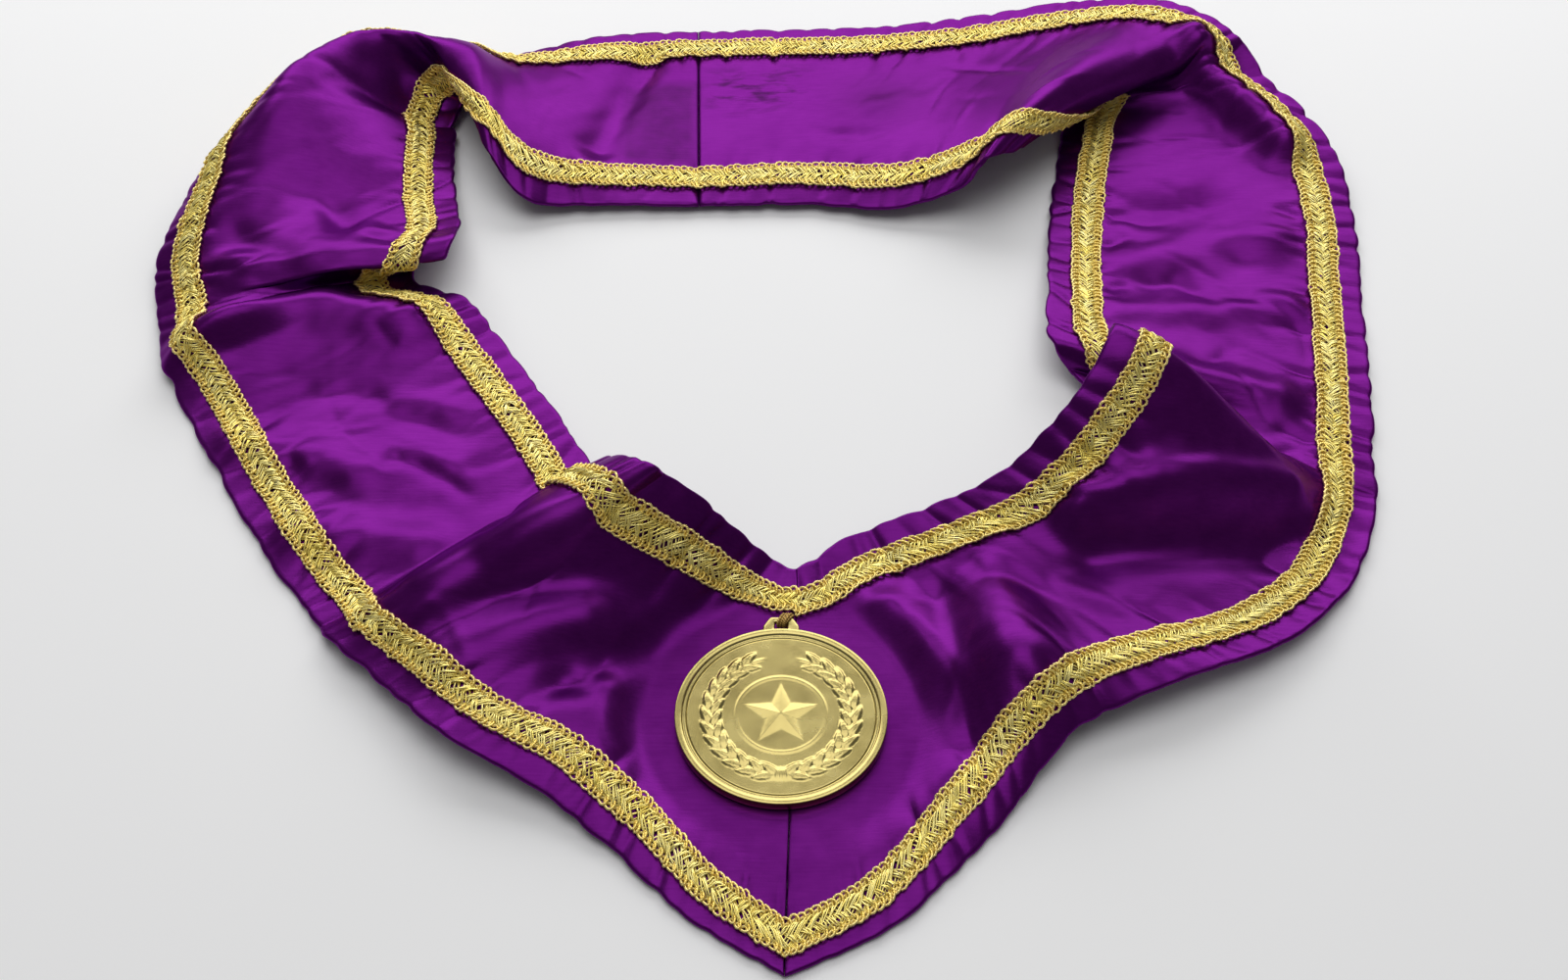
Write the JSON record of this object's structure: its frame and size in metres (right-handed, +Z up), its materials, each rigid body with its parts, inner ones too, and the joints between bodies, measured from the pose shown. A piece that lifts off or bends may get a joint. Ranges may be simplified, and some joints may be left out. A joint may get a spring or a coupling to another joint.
{
  "type": "award collar",
  "caption": "Satin award collar lying open in a loop with a V front, a metallic braid along each edge and a round struck medal hung at the V.",
  "frame": {"origin": "middle of the footprint, on the surface that the collar lies on", "axes": "+Z up from that surface, -Y towards the tip of the front V, +X to the right seen from the front with the face up"},
  "size_m": [0.4173, 0.4025, 0.0528],
  "materials": {
    "purple_satin": "satin weave, sheen on the folds",
    "gold_braid": "plaited metallic lace",
    "gilt_metal": "struck, satin-polished gilt",
    "gold_thread": "waxed thread"
  },
  "bodies": {
    "root": {"satin_panel_left": "purple_satin", "satin_panel_right": "purple_satin", "inner_braid": "gold_braid", "outer_braid": "gold_braid", "medal": "gilt_metal", "hanging_thread": "gold_thread"}
  },
  "joints": []
}
